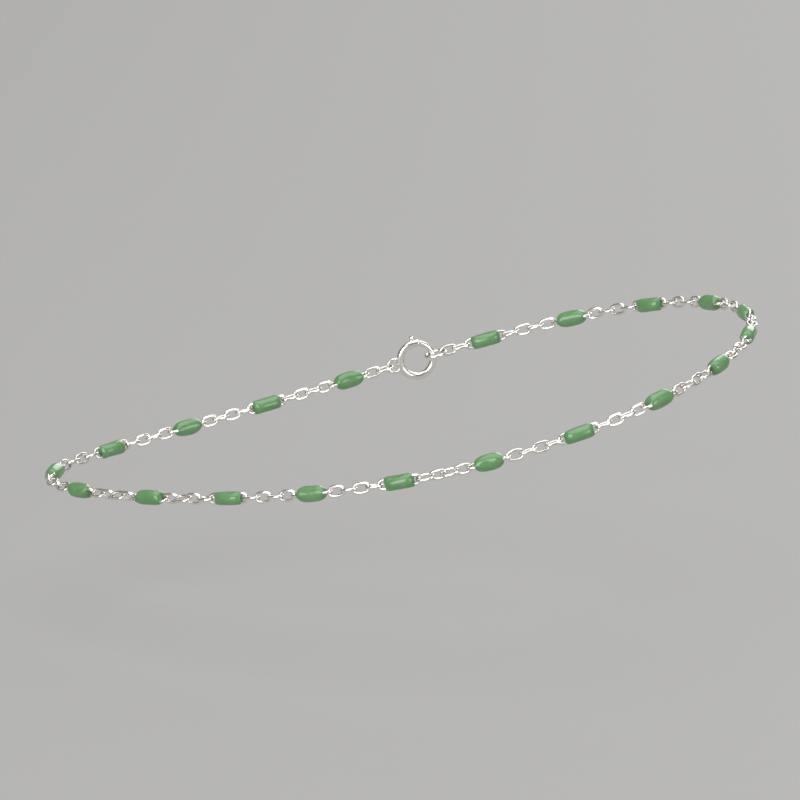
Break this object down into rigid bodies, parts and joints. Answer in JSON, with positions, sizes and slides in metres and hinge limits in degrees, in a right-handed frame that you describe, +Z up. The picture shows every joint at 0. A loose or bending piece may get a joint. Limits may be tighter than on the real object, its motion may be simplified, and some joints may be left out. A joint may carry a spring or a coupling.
{
  "type": "beaded anklet",
  "caption": "Fine cable-chain anklet with barrel beads of green enamel over its links, closed by a spring ring and kept in the loop it has round an ankle.",
  "frame": {"origin": "middle of the loop, where the ankle goes through", "axes": "+X towards the toes, +Y towards the inner side of a right ankle, +Z up the leg"},
  "size_m": [0.0844, 0.0616, 0.0205],
  "materials": {
    "silver": "polished silver, with fine scratches and darker hollows",
    "green_enamel": "glossy, slightly uneven green enamel"
  },
  "bodies": {
    "root": {"chain_heel_side": "silver", "chain_shin_side": "silver", "bead_01": "green_enamel", "bead_02": "green_enamel", "bead_03": "green_enamel", "bead_04": "green_enamel", "bead_05": "green_enamel", "bead_06": "green_enamel", "bead_07": "green_enamel", "bead_08": "green_enamel", "bead_09": "green_enamel", "bead_10": "green_enamel", "bead_11": "green_enamel", "bead_12": "green_enamel", "bead_13": "green_enamel", "bead_14": "green_enamel", "bead_15": "green_enamel", "bead_16": "green_enamel", "bead_17": "green_enamel", "bead_18": "green_enamel", "bead_19": "green_enamel", "bead_20": "green_enamel", "end_ring": "silver", "clasp": "silver"}
  },
  "joints": []
}
